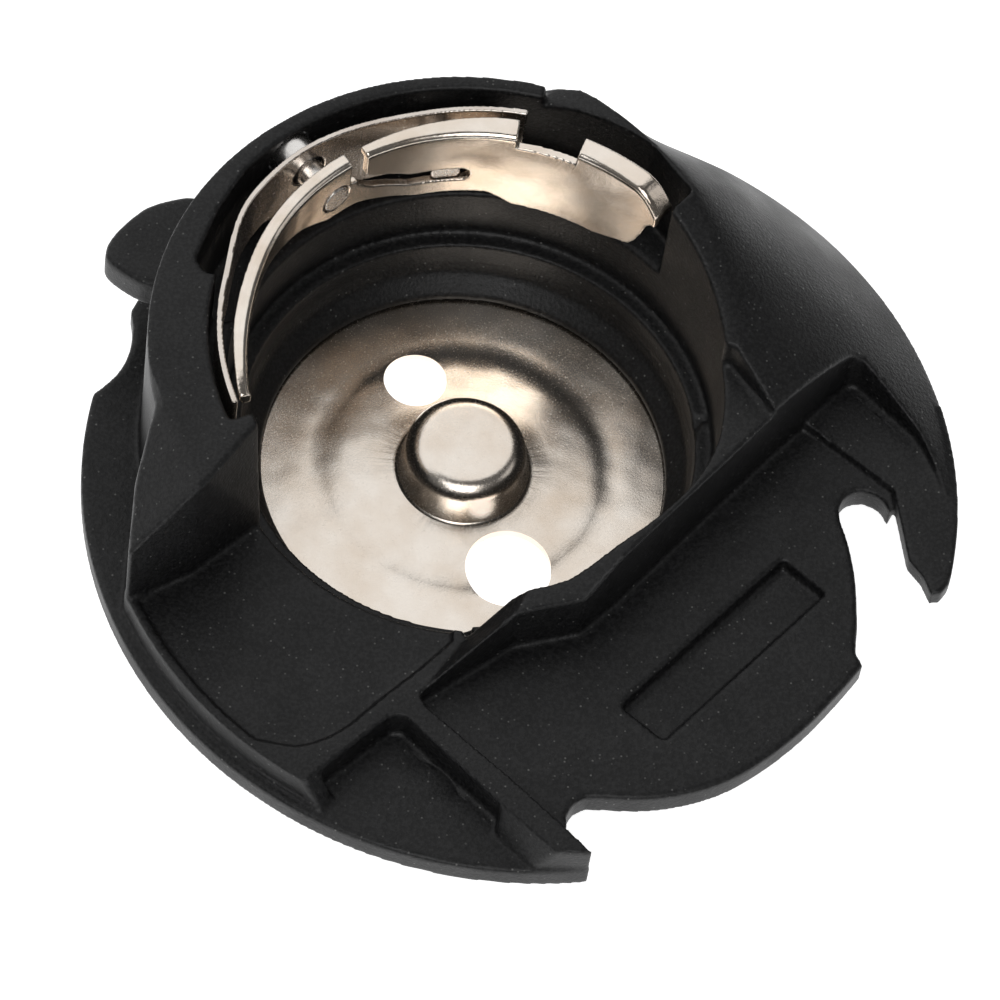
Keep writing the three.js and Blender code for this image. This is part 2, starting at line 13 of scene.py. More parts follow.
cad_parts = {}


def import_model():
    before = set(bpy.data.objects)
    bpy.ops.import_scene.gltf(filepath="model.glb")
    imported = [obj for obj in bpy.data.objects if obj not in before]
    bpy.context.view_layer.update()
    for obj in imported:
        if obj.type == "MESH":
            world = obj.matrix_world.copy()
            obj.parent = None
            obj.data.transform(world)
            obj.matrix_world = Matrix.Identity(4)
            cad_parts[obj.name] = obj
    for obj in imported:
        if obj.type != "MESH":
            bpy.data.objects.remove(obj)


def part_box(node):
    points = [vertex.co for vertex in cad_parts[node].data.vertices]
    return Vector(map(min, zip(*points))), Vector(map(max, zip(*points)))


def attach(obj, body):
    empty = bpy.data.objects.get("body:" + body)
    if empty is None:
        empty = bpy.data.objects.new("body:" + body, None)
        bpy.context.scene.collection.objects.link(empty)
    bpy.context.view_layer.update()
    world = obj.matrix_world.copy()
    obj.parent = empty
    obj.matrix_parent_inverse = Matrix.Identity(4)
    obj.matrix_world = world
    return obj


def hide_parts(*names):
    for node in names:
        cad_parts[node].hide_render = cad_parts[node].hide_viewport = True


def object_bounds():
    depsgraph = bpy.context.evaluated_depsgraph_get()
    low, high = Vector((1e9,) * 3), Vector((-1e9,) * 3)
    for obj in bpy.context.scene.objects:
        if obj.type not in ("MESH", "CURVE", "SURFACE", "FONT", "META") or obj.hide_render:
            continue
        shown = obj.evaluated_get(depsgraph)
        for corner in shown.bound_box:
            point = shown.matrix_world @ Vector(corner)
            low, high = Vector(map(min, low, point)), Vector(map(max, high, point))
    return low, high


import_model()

cad_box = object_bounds()

# ---- sizes, mm -------------------------------------------------------------------------------
WELL_R = 12.3           # bobbin well, above the ledge
WELL_LOW_R = 11.4
LEDGE_Z = 3.4
LIP_R = 10.25           # opening over the base plate
LIP_TOP = 0.5
RING_R = 16.15          # outside of the high ring
RING_X, RING_Y = -0.15, -0.6
RING_TOP = 12.4
BARREL_R = 13.8
BARREL_LOW = -1.1
RACE_R = 21.85          # race rib
RACE_X, RACE_Y = 3.0, -2.4
RIB_LOW, RIB_TOP = 1.9, 3.2
FLOOR_TOP = 4.9
FLOOR_DISH = 0.3
FLOOR_INSET = 0.65
APRON_LOW, APRON_TOP = 2.4, 3.9
WINDOW_DEEP = 0.75
DAM_TOP = 8.3
DAM_STEP = 7.05
CAM_RIM = 10.0
CAM_EDGE = 4.2
CLAW_TOP, CLAW_T = 4.4, 1.1
LUG_TOP, LUG_LOW = 9.0, 7.2
PLATE_T = 0.5
PLATE_R = 11.2
PLATE_FREE = 0.06       # round the plate in its seat
PLATE_HOLES = ((5.78, 123.3, 1.6), (6.18, -60, 2.17))   # distance out, direction, radius
POST_R = 3.0
POST_TOP = 2.65
SHEET_R = 11.7          # tension bracket, inner face
SHEET_X = 0.5
SHEET_T = 0.45
SHEET_LOW, SHEET_TOP = 7.4, 13.05
FLANGE_W, ARM_W = 1.2, 0.78
ARM_DRIFT, CURL = 0.8, 0.5      # how far the left arm leaves the circle, and the right end closes in
BEND_R = 0.32
SLIT_Z, SLIT_W = 9.7, 0.9
LEAF_R = 13.25
LEAF_T = 0.3
LEAF_LOW, LEAF_TOP = 8.0, 12.75
LEAF_BULGE = 0.65
LEAF_START, LEAF_END = 91, 209
SCREW_R = 0.75
TENSION_AT, TENSION_Z = 139.5, 10.8
FIXING_AT, FIXING_Z = 109, 9.7
BLIND = 0.12            # skin left over the fixing screw's hole
HEAD_R = 1.2
TENSION_HEAD, FIXING_HEAD = 1.5, 0.7
THREAD_FREE, LEAF_FREE, HEAD_FREE, SEAT_FREE = 0.06, 0.2, 0.1, 0.15
POCKET_LOW = 6.7
POCKET_R = 14.75
MARK_DEEP, MARK_WIDTH = 0.09, 0.2
HORN_VOXEL, CASE_VOXEL, SHEET_VOXEL, SCREW_VOXEL = 0.16, 0.14, 0.07, 0.05

MM = 0.001
plate_low, plate_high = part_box("base_plate")
AXIS = Vector(((plate_low.x + plate_high.x) / 2, (plate_low.y + plate_high.y) / 2,
               plate_low.z + PLATE_T * MM))
PLACE = Matrix.Translation(AXIS) @ Matrix.Scale(MM, 4)


# ---- drawing ---------------------------------------------------------------------------------
def polar(r, deg, cx=0.0, cy=0.0):
    return cx + r * math.cos(math.radians(deg)), cy + r * math.sin(math.radians(deg))


def arc(cx, cy, r, start, stop, step=1.5):
    n = max(2, math.ceil(abs(stop - start) / step))
    return [polar(r, start + (stop - start) * i / n, cx, cy) for i in range(n + 1)]


def race_arc(start, stop, inset=0.0):
    return arc(RACE_X, RACE_Y, RACE_R - inset, start, stop)


def ring_arc(start, stop):
    return arc(RING_X, RING_Y, RING_R, start, stop)


def curve(points, steps=4):
    """Smooth open line (Catmull-Rom) through a few points."""
    out = []
    for i in range(len(points) - 1):
        a = points[max(i - 1, 0)]
        b, c = points[i], points[i + 1]
        d = points[min(i + 2, len(points) - 1)]
        for k in range(steps):
            t = k / steps
            w = (-t + 2 * t * t - t ** 3, 2 - 5 * t * t + 3 * t ** 3,
                 t + 4 * t * t - 3 * t ** 3, t ** 3 - t * t)
            out.append(tuple(sum(f * p[j] for f, p in zip(w, (a, b, c, d))) / 2 for j in (0, 1)))
    return out + [tuple(points[-1])]


def solid(bm, name="tool"):
    bmesh.ops.triangulate(bm, faces=bm.faces[:])
    bmesh.ops.recalc_face_normals(bm, faces=bm.faces[:])
    mesh = bpy.data.meshes.new(name)
    bm.to_mesh(mesh)
    bm.free()
    obj = bpy.data.objects.new(name, mesh)
    bpy.context.scene.collection.objects.link(obj)
    return obj


def raise_faces(bm, low, high):
    """Extrudes the flat faces; each height is a number or a function of the point."""
    made = bmesh.ops.extrude_face_region(bm, geom=bm.faces[:])["geom"]
    raised = {v for v in made if isinstance(v, bmesh.types.BMVert)}
    for v in bm.verts:
        end = high if v in raised else low
        v.co.z = end(v.co.x, v.co.y) if callable(end) else end


def prism(points, low, high):
    bm = bmesh.new()
    bm.faces.new([bm.verts.new((x, y, 0)) for x, y in points])
    raise_faces(bm, low, high)
    return solid(bm)


def disc(cx, cy, r, low, high):
    return prism(arc(cx, cy, r, 0, 358.5), low, high)


def lathe(profile, steps=144, start=0.0, sweep=360.0, cx=0.0, closed=False):
    """Spins a profile of (radius, height) about the upright line through (cx, 0)."""
    bm = bmesh.new()
    verts = [bm.verts.new((*polar(r, start, cx), z)) for r, z in profile]
    edges = [bm.edges.new(pair) for pair in zip(verts, verts[1:])]
    if closed:
        edges.append(bm.edges.new((verts[-1], verts[0])))
    whole = sweep == 360.0
    bmesh.ops.spin(bm, geom=verts + edges, cent=(cx, 0, 0), axis=(0, 0, 1), angle=math.radians(sweep),
                   steps=steps, use_merge=whole)
    bmesh.ops.remove_doubles(bm, verts=bm.verts[:], dist=1e-4)
    if not whole:
        bmesh.ops.holes_fill(bm, edges=[e for e in bm.edges if e.is_boundary])
    return solid(bm)


def bar(r, deg, a, b, z, cx=SHEET_X, segments=40):
    """Round bar along a direction in plan, from radius a to radius b."""
    bm = bmesh.new()
    bmesh.ops.create_cone(bm, cap_ends=True, segments=segments, radius1=r, radius2=r, depth=b - a)
    turn = Matrix.Rotation(math.radians(deg), 4, "Z") @ Matrix.Rotation(math.pi / 2, 4, "Y")
    middle = Vector((*polar((a + b) / 2, deg, cx), z))
    bmesh.ops.transform(bm, matrix=Matrix.Translation(middle) @ turn, verts=bm.verts[:])
    return solid(bm)


def bake(obj):
    """Applies the object's modifiers to its mesh."""
    graph = bpy.context.evaluated_depsgraph_get()
    mesh = bpy.data.meshes.new_from_object(obj.evaluated_get(graph))
    obj.modifiers.clear()
    old, obj.data = obj.data, mesh
    bpy.data.meshes.remove(old)


def combine(body, tools, operation):
    for tool in tools:
        mod = body.modifiers.new(operation.lower(), "BOOLEAN")
        mod.operation, mod.solver, mod.object = operation, "MANIFOLD", tool
        bake(body)
        bpy.data.objects.remove(tool)
    return body


def join(body, *tools):
    return combine(body, tools, "UNION")


def cut(body, *tools):
    return combine(body, tools, "DIFFERENCE")


def soften(obj, voxel, rounds, ratio=1.0):
    """Evens out the mesh and rounds its edges and corners, as on a moulding or a tumbled pressing."""
    remesh = obj.modifiers.new("even", "REMESH")
    remesh.mode, remesh.voxel_size = "VOXEL", voxel
    smooth = obj.modifiers.new("round", "SMOOTH")
    smooth.factor, smooth.iterations = 0.5, rounds
    if ratio < 1.0:
        obj.modifiers.new("lighten", "DECIMATE").ratio = ratio
    bake(obj)
    return obj


def slope(p, q, high, fall, least=-99.0, most=99.0):
    """Height that falls from "high" on the line p-q by "fall" for each mm to the right of it."""
    length = math.dist(p, q)
    nx, ny = (q[1] - p[1]) / length, (p[0] - q[0]) / length
    return lambda x, y: max(least, min(most, high - fall * ((x - p[0]) * nx + (y - p[1]) * ny)))


def ramped(v, low, high):
    return min(1.0, max(0.0, (v - low) / (high - low)))


def smooth(t):
    return t * t * (3 - 2 * t)


# ---- plan of the moulding ---------------------------------------------------------------------
TIP = (9.35, -23.3)
ARM_START = (-0.67, -17.52)
ARM_NEAR = (4.6, -21.4)
ARM_FAR = (8.05, -22.3)
ARM_END = (7.7, -23.55)
RIDGE_END = (-4.15, -21.2)
FLOOR_END = (-4.8, -22.15)
CUT_IN = (-9.35, -8.0)
CUT_OUT = (-12.15, -11.45)
DAM_LEFT = (-0.14, -16.17)
DAM_BACK = (1.56, -12.7)
KINK = (3.85, -12.1)
KINK_BACK = (4.4, -10.0)
STEP_LOW = (7.05, -10.7)
STEP_BACK = (5.9, -9.6)
STEP_HIGH = (8.5, -8.75)
STEP_TOP = (7.95, -8.05)
CAM_FOOT = (14.77, 0.89)
CAM_NOSE = (12.3, 3.45)


def rib():
    scallop = [(-18.75, -1.1), (-18.2, -0.35), (-17.75, 0.5), (-17.5, 1.6), (-17.55, 3.0), (-17.85, 4.1)]
    inside = [(21, 4.5), (17, 3), (14, -6), (9, -13), (7.7, -21.6)]
    outline = race_arc(-72.9, -183.2) + curve(scallop, 3) + race_arc(-199.2, -343) + inside
    return prism(outline, RIB_LOW, RIB_TOP)


def apron():
    slot = curve([(21.4, -0.7), (21.0, -0.05), (20.4, 0.25), (19.8, 0.25), (19.2, -0.1), (18.9, -0.75),
                  (19.0, -1.6), (19.55, -2.9), (20.15, -5.0), (20.55, -7.7)], 4)
    nick = [(20.6, -9.1), (21.05, -9.75)]
    front = curve([(21.05, -9.75), (20.1, -11.5), (18.6, -13.9), (16.7, -16.2), (14.9, -17.75),
                   (12.9, -18.8), (11.1, -19.35), (9.4, -19.6), (8.6, -19.75)], 4)
    notch = [(8.05, -20.2), (7.8, -20.9), (7.95, -21.7)]
    inside = [(5.2, -20.4), (2.0, -18.4), (-0.6, -16.5), (3, -8), (9, 0), (14.6, 4.2), (17.2, 4.2),
              (19.8, 2.6), (22, 1.0)]
    plate = prism(slot + nick + front[1:] + notch + inside, APRON_LOW, APRON_TOP)
    corners = [(9.6, -14.35), (16.45, -4.5), (18.75, -6.0), (11.9, -15.85)]
    return cut(plate, prism(corners, APRON_TOP - WINDOW_DEEP, APRON_TOP + 1))


def floor_slab():
    outline = race_arc(-149, -112.6, FLOOR_INSET) + [
        FLOOR_END, RIDGE_END, (-1.3, -17.65), ARM_START, ARM_NEAR, ARM_END, TIP, ARM_FAR, (5.3, -20.25),
        (0.2, -16.75), DAM_LEFT, DAM_BACK, (0, -8), (-8, -4), CUT_IN, CUT_OUT]
    slab = prism(outline, RIB_LOW, FLOOR_TOP)
    tab = prism([RIDGE_END, FLOOR_END, (-3.75, -22.65), (-3.25, -22.0)],
                RIB_LOW, slope(RIDGE_END, FLOOR_END, FLOOR_TOP - 0.3, -1.3))
    ramp = prism([ARM_NEAR, ARM_END, (6.55, -23.75), (4.62, -22.4)],
                 RIB_LOW, slope(ARM_NEAR, ARM_END, FLOOR_TOP, 2.3, RIB_TOP))
    edge = curve([(1.0, -12.9), (-0.4, -14.9), (-2.0, -16.9), (-3.6, -19.0), (-5.4, -20.15),
                  (-7.2, -20.2)], 4)
    border = race_arc(-120.5, -147.5, FLOOR_INSET + 0.5) + [(-14.2, -13.4), (-13, -11), (-9, -6), (0, -8)]
    dish = prism(edge + border, FLOOR_TOP - FLOOR_DISH, FLOOR_TOP + 1)
    return cut(join(slab, tab, ramp), dish)


def dam():
    rise = slope(DAM_LEFT, DAM_BACK, FLOOR_TOP, -(DAM_STEP - FLOOR_TOP) / 1.4, FLOOR_TOP, DAM_STEP)
    low = prism([DAM_LEFT, KINK, STEP_LOW, STEP_BACK, KINK_BACK, DAM_BACK], RIB_LOW, rise)
    rise = slope(STEP_BACK, STEP_LOW, DAM_STEP, (DAM_TOP - DAM_STEP) / 2.4, DAM_STEP, DAM_TOP)
    step = prism([STEP_BACK, STEP_LOW, STEP_HIGH, STEP_TOP], RIB_LOW, rise)
    high = prism([STEP_HIGH, CAM_FOOT, CAM_NOSE, (11.5, 3), (10, -3), STEP_TOP], RIB_LOW, DAM_TOP)
    return join(low, step, high)


def cam_radii(deg):
    """Where the sloping top starts beside the well and ends on the race circle."""
    c, s = math.cos(math.radians(deg)), math.sin(math.radians(deg))
    along = c * RACE_X + s * RACE_Y
    far = along + math.sqrt(along * along + RACE_R ** 2 - RACE_X ** 2 - RACE_Y ** 2)
    k = min(1.0, max(0.0, (deg - 15) / 65))
    return WELL_R + 0.7 + k * k * (RING_R - WELL_R - 0.8), far


def cam_height(deg, t):
    rim = CAM_RIM + (RING_TOP - CAM_RIM) * min(1.0, max(-0.3, (deg - 15) / 35))
    fade = min(1.0, max(0.0, (deg - 56) / 34))
    edge = CAM_EDGE + (RIB_TOP - CAM_EDGE) * fade
    return rim + (edge - rim) * t ** (1.3 - 1.05 * fade)


def cam():
    """Sloping top from the well to the race rib; the first row of the grid reaches inside the well."""
    first, last = -14, 94
    around, outward = 72, 20
    bm = bmesh.new()
    bmesh.ops.create_grid(bm, x_segments=around, y_segments=outward, size=1.0)
    for v in bm.verts:
        deg = first + (last - first) * (v.co.x + 1) / 2
        t = max(0.0, ((v.co.y + 1) / 2 * (outward + 1) - 1) / outward)
        near, far = cam_radii(deg)
        r = WELL_R - 1 if v.co.y < -0.999 else near + (far - near) * t
        v.co = (*polar(r, deg), cam_height(deg, t))
    made = bmesh.ops.extrude_face_region(bm, geom=bm.faces[:])["geom"]
    for v in made:
        if isinstance(v, bmesh.types.BMVert):
            v.co.z = RIB_LOW
    wall = curve([(18.25, 5.95), (18.75, 6.05), (19.25, 5.8), (21.35, 4.2), (22.58, 3.0), (24.3, 0.05)], 3)
    front = [CAM_NOSE, CAM_FOOT] + wall + [(27, -3), (27, -12), (5, -12), (8, 3.4)]
    return cut(solid(bm), prism(front, -5, 20))


def claw():
    step = [(15.6, 3.85), (17.0, 3.1), (19.05, 1.85), (21.4, 0.4)]
    side = [(21.95, -1.4), (22.6, -3.6), (23.4, -4.4), (23.9, -5.35), (24.4, -5.2)]
    return prism(step + side + race_arc(-5.6, 22) + [(17, 6)], CLAW_TOP - CLAW_T, CLAW_TOP)


def ring_wall():
    side = [(-15.35, -10.3), (-15.05, -13.75)]
    outline = ring_arc(86, 202.7) + side + [CUT_OUT, CUT_IN] + arc(0, 0, WELL_R - 1, 220, 86)
    body = prism(outline, RIB_LOW, RING_TOP)
    crease = [(-12.1, -11.5), (-14.6, -6.84)]
    over = [(-16.6, -2.2), (-18.5, -2.2), (-18.5, -17), (-11.7, -17)]
    return cut(body, prism(crease + over, slope(*crease, RING_TOP, -2.14, 4.6), RING_TOP + 3), facet())


def facet():
    """What is taken off the ring's front face: a triangle that leans back towards the well."""
    length = math.dist(CUT_OUT, CUT_IN)
    ux, uy = (CUT_IN[0] - CUT_OUT[0]) / length, (CUT_IN[1] - CUT_OUT[1]) / length
    top, far, lean = RING_TOP + 0.6, length + 0.4, 1.1
    bm = bmesh.new()
    for along, out, z in ((0.2, 0, top), (far, 0, FLOOR_TOP), (far, -lean, top), (far, 0.5, top + 0.5)):
        bm.verts.new((CUT_OUT[0] + ux * along + uy * out, CUT_OUT[1] + uy * along - ux * out, z))
    bmesh.ops.convex_hull(bm, input=bm.verts[:])
    return solid(bm)


def lug():
    """Rounded horn at the left; its edges are far softer than the rest of the moulding."""
    edge = curve([(-16.0, 7.5), (-17.65, 6.55), (-18.75, 5.05), (-19.2, 4.0), (-19.22, 3.45),
                  (-19.1, 2.95), (-18.2, 2.35), (-17.2, 1.9)], 4)
    body = prism([(-14, 7.8)] + edge + [(-14, 1.4)], LUG_LOW - 0.05, LUG_TOP + 0.1)
    return soften(body, HORN_VOXEL, 12)


def well_space():
    r, foot, low_z = PLATE_R + PLATE_FREE, PLATE_R - 0.7, -PLATE_T - PLATE_FREE
    low = lathe([(0, BARREL_LOW - 1), (foot, BARREL_LOW - 1), (foot, low_z), (r, low_z), (r, PLATE_FREE),
                 (LIP_R, PLATE_FREE), (LIP_R, LIP_TOP), (WELL_LOW_R - 0.2, LIP_TOP + 0.9),
                 (WELL_LOW_R, LIP_TOP + 1.6), (WELL_LOW_R, RING_TOP + 2), (0, RING_TOP + 2)])
    closing, steps, sweep = [], 20, 42
    for i in range(steps):
        t = i / steps
        closing.append(polar(WELL_LOW_R + (WELL_R - WELL_LOW_R) * smooth(t), sweep * t - sweep))
    return join(low, prism(closing + arc(0, 0, WELL_R, 0, 279) + [(0, 0)], LEDGE_Z, RING_TOP + 2.5))


def tension_pocket():
    """Room behind the bracket, and the narrower, higher slot for its left arm."""
    r, inside = POCKET_R, WELL_R - 1.2
    rim = arc(0, 0, r - 0.75, 50, 53) + arc(-0.2, 0, r, 62, 150, 3)
    rim += [polar(r - 0.05, 161), polar(r - 0.15, 173.5), polar(LEAF_R + 0.8, 176)]
    inner = arc(0, 0, inside, 213, 48)
    left = [polar(LEAF_R + 0.8, 174)] + arc(SHEET_X, 0, LEAF_R + LEAF_T + 0.35, 176, 211.5)
    return join(prism(rim + arc(0, 0, inside, 176, 48), POCKET_LOW, RING_TOP + 1),
                prism(left + inner[:24], POCKET_LOW + 1.8, RING_TOP + 1.5))


def witness_circle(obj, centre, r, level):
    """Presses a fine round groove into a finished flat of the moulding."""
    for v in obj.data.vertices:
        gap = abs(math.dist(v.co[:2], centre) - r)
        if gap < MARK_WIDTH and abs(v.co.z - level) < 0.15:
            v.co.z -= MARK_DEEP * math.cos(gap / MARK_WIDTH * math.pi / 2) ** 2


def moulding():
    body = disc(0, 0, BARREL_R, BARREL_LOW, RIB_LOW + 0.5)
    join(body, rib(), floor_slab(), apron(), dam(), cam(), claw(), ring_wall(), lug())
    window = bar(HEAD_R + HEAD_FREE, TENSION_AT, POCKET_R - 2, RING_R + 3, TENSION_Z)
    cut(body, well_space(), tension_pocket(), window)
    soften(body, CASE_VOXEL, 4, 0.3)
    witness_circle(body, (19.05, 3.5), 1.42, CLAW_TOP)
    witness_circle(body, (0.47, -21.0), 2.1, RIB_TOP)
    witness_circle(body, (-8.6, -16.2), 1.5, FLOOR_TOP - FLOOR_DISH)
    return body


# ---- plated pieces ----------------------------------------------------------------------------
def fillet(cx, cz, r, start, stop, steps=6):
    return [polar(r, start + (stop - start) * i / steps, cx, cz) for i in range(steps + 1)]


def base_plate():
    """Disc with a shallow raised middle and the post drawn up from it."""
    r, top = POST_R, POST_TOP
    post = [(0, top - 0.03), (1.2, top - 0.015), (r - 0.98, top)]
    post += fillet(r - 0.88, top - 0.95, 0.95, 86, 0, 12)
    post += [(r + 0.1, 1.4), (r + 0.17, 1.0), (r + 0.26, 0.6), (r + 0.34, 0.3), (r + 0.42, 0.24),
             (r + 0.46, 0.17), (r + 0.6, 0.13)]
    face = [(4.6, 0.12), (6.0, 0.12), (6.5, 0.1), (7.0, 0.03), (7.4, -0.05), (7.9, -0.02), (8.4, 0.0),
            (LIP_R - 0.05, 0.0), (LIP_R, -0.05), (PLATE_R, -0.05), (PLATE_R, -PLATE_T)]
    under = [(7.4, -PLATE_T), (6.6, 0.1 - PLATE_T), (r + 0.5, 0.1 - PLATE_T), (r - 0.15, 0.2),
             (r - 0.5, 1.0), (r - 0.5, top - 1.0), (r - 1.15, top - 0.5), (0, top - 0.5)]
    holes = [disc(*polar(out, deg), size, -3, 3) for out, deg, size in PLATE_HOLES]
    return cut(lathe(post + face + under, steps=180), *holes)


def strip(inner, outer, start, stop, low, high):
    """Part of a sheet bent about the bracket's axis; a radius may be a function of the direction."""
    def line(r, a, b):
        n = math.ceil(abs(b - a) / 1.5)
        marks = [a + (b - a) * i / n for i in range(n + 1)]
        return [polar(r(deg) if callable(r) else r, deg, SHEET_X) for deg in marks]
    return prism(line(outer, start, stop) + line(inner, stop, start), low, high)


def sheet_r(deg):
    return SHEET_R + ARM_DRIFT * ramped(deg, 170, 206) ** 2 - CURL * ramped(-deg, -130, -55)


def leaf_r(deg):
    return LEAF_R + LEAF_BULGE * smooth(ramped(deg, 112, 146)) * (1 - smooth(ramped(deg, 156, 178)))


def flange_width(deg):
    if deg < 92:
        return FLANGE_W
    if deg < 133:
        return FLANGE_W - 0.5 * ramped(deg, 98, 130)
    return ARM_W - 0.2 * ramped(deg, 190, 206)


def axis_deg(x, y):
    return math.degrees(math.atan2(y, x - SHEET_X)) % 360


def bracket_foot(x, y):
    """Lower edge of the bracket: deepest at the right, rising along the left arm."""
    deg = axis_deg(x, y)
    return (SHEET_LOW + 2.6 * (1 - ramped(deg, 54, 60)) ** 2 + 1.1 * (1 - ramped(deg, 56, 69))
            + 0.8 * ramped(deg, 92, 98) + 1.1 * ramped(deg, 116, 133) + 1.2 * ramped(deg, 142, 152)
            + 1.5 * ramped(deg, 152, 172))


def slit_middle(x, y):
    deg = axis_deg(x, y)
    return SLIT_Z + ramped(deg, 118, 129) + 0.8 * ramped(deg, 129, 133)


def bracket_strip():
    """Wall and bent-out flange of the bracket, drawn round and then brought to their changing radii."""
    r, t, top = SHEET_R, SHEET_T, SHEET_TOP
    section = [(r, SHEET_LOW)] + fillet(r + BEND_R, top - BEND_R, BEND_R, 180, 90)
    section += [(r + FLANGE_W, top), (r + FLANGE_W, top - t), (r + t, top - t), (r + t, SHEET_LOW)]
    body = lathe(section, steps=104, start=52, sweep=156, cx=SHEET_X, closed=True)
    for v in body.data.vertices:
        deg = axis_deg(v.co.x, v.co.y)
        out = math.hypot(v.co.x - SHEET_X, v.co.y) - r
        share = (flange_width(deg) - t) / (FLANGE_W - t)
        out = out if out < t else t + (out - t) * share
        v.co.x, v.co.y = polar(sheet_r(deg) + out, deg, SHEET_X)
        if v.co.z > top - 1:
            v.co.z -= 1.1 * (1 - ramped(deg, 52, 60)) ** 2 + 0.35 * ramped(deg, 200, 208) ** 2
    return body


def tension_bracket():
    top = SHEET_TOP
    near, far = SHEET_R - 2, SHEET_R + 2.4
    slit = strip(near, far, 105.5, 133, lambda x, y: slit_middle(x, y) - SLIT_W / 2,
                 lambda x, y: slit_middle(x, y) + SLIT_W / 2)
    round_end = bar(SLIT_W / 2, 105.5, near, far, SLIT_Z)
    open_end = strip(near, far, 130.7, 135.2, 11.3, top + 2)
    low = strip(near, far, 77, 92.5, top - 0.8, top + 2)
    foot = strip(near, far, 50, 214, SHEET_LOW - 1, bracket_foot)
    bores = [bar(SCREW_R + THREAD_FREE, TENSION_AT, near, far, TENSION_Z),
             bar(SCREW_R + THREAD_FREE, FIXING_AT, sheet_r(FIXING_AT) + BLIND, far, FIXING_Z)]
    return soften(cut(bracket_strip(), slit, round_end, open_end, low, foot, *bores), SHEET_VOXEL, 3)


def tension_spring():
    def low(x, y):
        return LEAF_LOW + 1.2 * ramped(axis_deg(x, y), 144, 152)
    leaf = strip(leaf_r, lambda deg: leaf_r(deg) + LEAF_T, LEAF_START, LEAF_END, low, LEAF_TOP)
    bores = [bar(SCREW_R + LEAF_FREE, deg, LEAF_R - 2, LEAF_R + 2, z)
             for deg, z in ((TENSION_AT, TENSION_Z), (FIXING_AT, FIXING_Z))]
    corner = strip(LEAF_R - 1, LEAF_R + 2, 88, 96, LEAF_LOW - 1, LEAF_TOP - 2.6)
    return soften(cut(leaf, corner, *bores), SHEET_VOXEL, 2)


def screw(deg, z, tip, head, blades):
    """Cheese-head screw; blades are the width and length of each slot across its head."""
    seat = leaf_r(deg) + LEAF_T + SEAT_FREE
    body = join(bar(SCREW_R, deg, tip, seat + 0.05, z),
                bar(HEAD_R, deg, seat, seat + head, z, segments=64))
    for w, h in blades:
        bm = bmesh.new()
        bmesh.ops.create_cube(bm, size=1.0)
        spot = Matrix.Translation(Vector((*polar(seat + head + 0.05, deg, SHEET_X), z)))
        turn = Matrix.Rotation(math.radians(deg), 4, "Z") @ Matrix.Diagonal((0.6, w, h, 1.0))
        bmesh.ops.transform(bm, matrix=spot @ turn, verts=bm.verts[:])
        cut(body, solid(bm))
    return soften(body, SCREW_VOXEL, 3)


# ---- finishes ---------------------------------------------------------------------------------
def add(tree, kind, inputs=(), **settings):
    node = tree.nodes.new("ShaderNode" + kind)
    for key, value in settings.items():
        setattr(node, key, value)
    for key, value in dict(inputs).items():
        if isinstance(value, bpy.types.NodeSocket):
            tree.links.new(value, node.inputs[key])
        else:
            node.inputs[key].default_value = value
    return node


def grey(v, a=1.0):
    return (v, v, v, a)


def finish_of(name, **constants):
    material = bpy.data.materials.new(name)
    material.use_nodes = True
    shader = material.node_tree.nodes["Principled BSDF"]
    for key, value in constants.items():
        shader.inputs[key.replace("_", " ").title().replace("Ior", "IOR")].default_value = value
    return material, material.node_tree, shader


def in_mm(tree):
    """Object coordinates counted in millimetres about the bobbin's axis."""
    coords = add(tree, "TexCoord")
    about = {"Vector": coords.outputs["Object"], "Location": -AXIS / MM, "Scale": (1 / MM,) * 3}
    return add(tree, "Mapping", about, vector_type="POINT").outputs["Vector"]


def spread(tree, value, low, high, to_low, to_high):
    return add(tree, "MapRange", {"Value": value, "From Min": low, "From Max": high,
                                  "To Min": to_low, "To Max": to_high}).outputs["Result"]


def black_moulding():
    material, tree, shader = finish_of("black_moulding", specular_ior_level=0.36)
    mm = in_mm(tree)
    grain = add(tree, "TexNoise", {"Vector": mm, "Scale": 5.5, "Detail": 3.0, "Roughness": 0.6})
    cloud = add(tree, "TexNoise", {"Vector": mm, "Scale": 0.35, "Detail": 2.0})
    dust = add(tree, "TexVoronoi", {"Vector": mm, "Scale": 3.0, "Randomness": 1.0})
    few = add(tree, "SeparateColor", {"Color": dust.outputs["Color"]})
    near = spread(tree, dust.outputs["Distance"], 0.09, 0.2, 1.0, 0.0)
    chosen = spread(tree, few.outputs["Red"], 0.6, 0.95, 0.0, 0.8)
    speck = add(tree, "Math", {0: near, 1: chosen}, operation="MULTIPLY").outputs["Value"]
    tone = spread(tree, grain.outputs["Fac"], 0.42, 0.62, 0.0, 1.0)
    pit, grey_skin = (0.003, 0.003, 0.0033, 1), (0.013, 0.013, 0.0135, 1)
    base = add(tree, "Mix", {"Factor": tone, "A": pit, "B": grey_skin}, data_type="RGBA")
    paint = add(tree, "Mix", {"Factor": speck, "A": base.outputs["Result"], "B": (0.14, 0.14, 0.135, 1)},
                data_type="RGBA")
    tree.links.new(paint.outputs["Result"], shader.inputs["Base Color"])
    rough = spread(tree, cloud.outputs["Fac"], 0.3, 0.7, 0.4, 0.52)
    tree.links.new(rough, shader.inputs["Roughness"])
    bump = add(tree, "Bump", {"Height": grain.outputs["Fac"], "Strength": 0.34, "Distance": 0.00009})
    tree.links.new(bump.outputs["Normal"], shader.inputs["Normal"])
    return material


